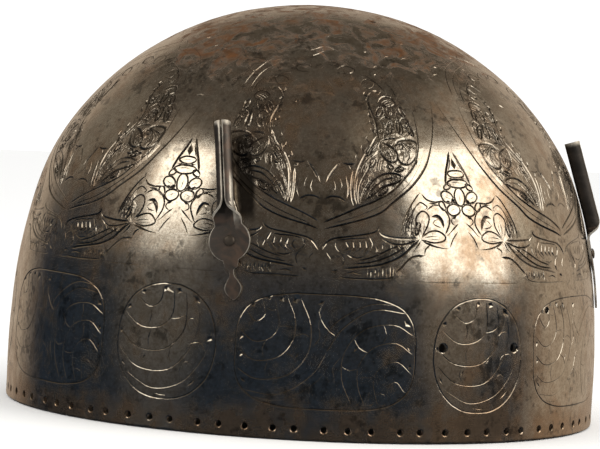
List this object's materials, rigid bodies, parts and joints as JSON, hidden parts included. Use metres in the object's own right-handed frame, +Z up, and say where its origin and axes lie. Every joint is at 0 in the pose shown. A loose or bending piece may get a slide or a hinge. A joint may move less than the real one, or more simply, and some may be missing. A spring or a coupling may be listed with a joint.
{
  "type": "kulah khud helmet bowl",
  "caption": "Domed steel helmet bowl, engraved round its sides, pierced along the rim for mail, with riveted plume-holder tubes at the front; worn on the head.",
  "frame": {"origin": "centre of the rim, on the plane that the rim stands on", "axes": "+Z up along the bowl's axis; the front, where the nasal was fixed, looks along -Y; +X is the wearer's left"},
  "size_m": [0.204, 0.2042, 0.14],
  "materials": {
    "engraved_steel": "worn polished steel with engraved lines, dark patina low down and brown rust on the crown",
    "holder_steel": "thin forged steel sheet, dark brown patina with bright rubbed edges",
    "rivet_iron": "hammered iron rivet, dark and dull"
  },
  "bodies": {
    "root": {"bowl": "engraved_steel", "plume_holder_right": "holder_steel", "plume_holder_left": "holder_steel", "rivet_right": "rivet_iron", "rivet_left": "rivet_iron"}
  },
  "joints": []
}
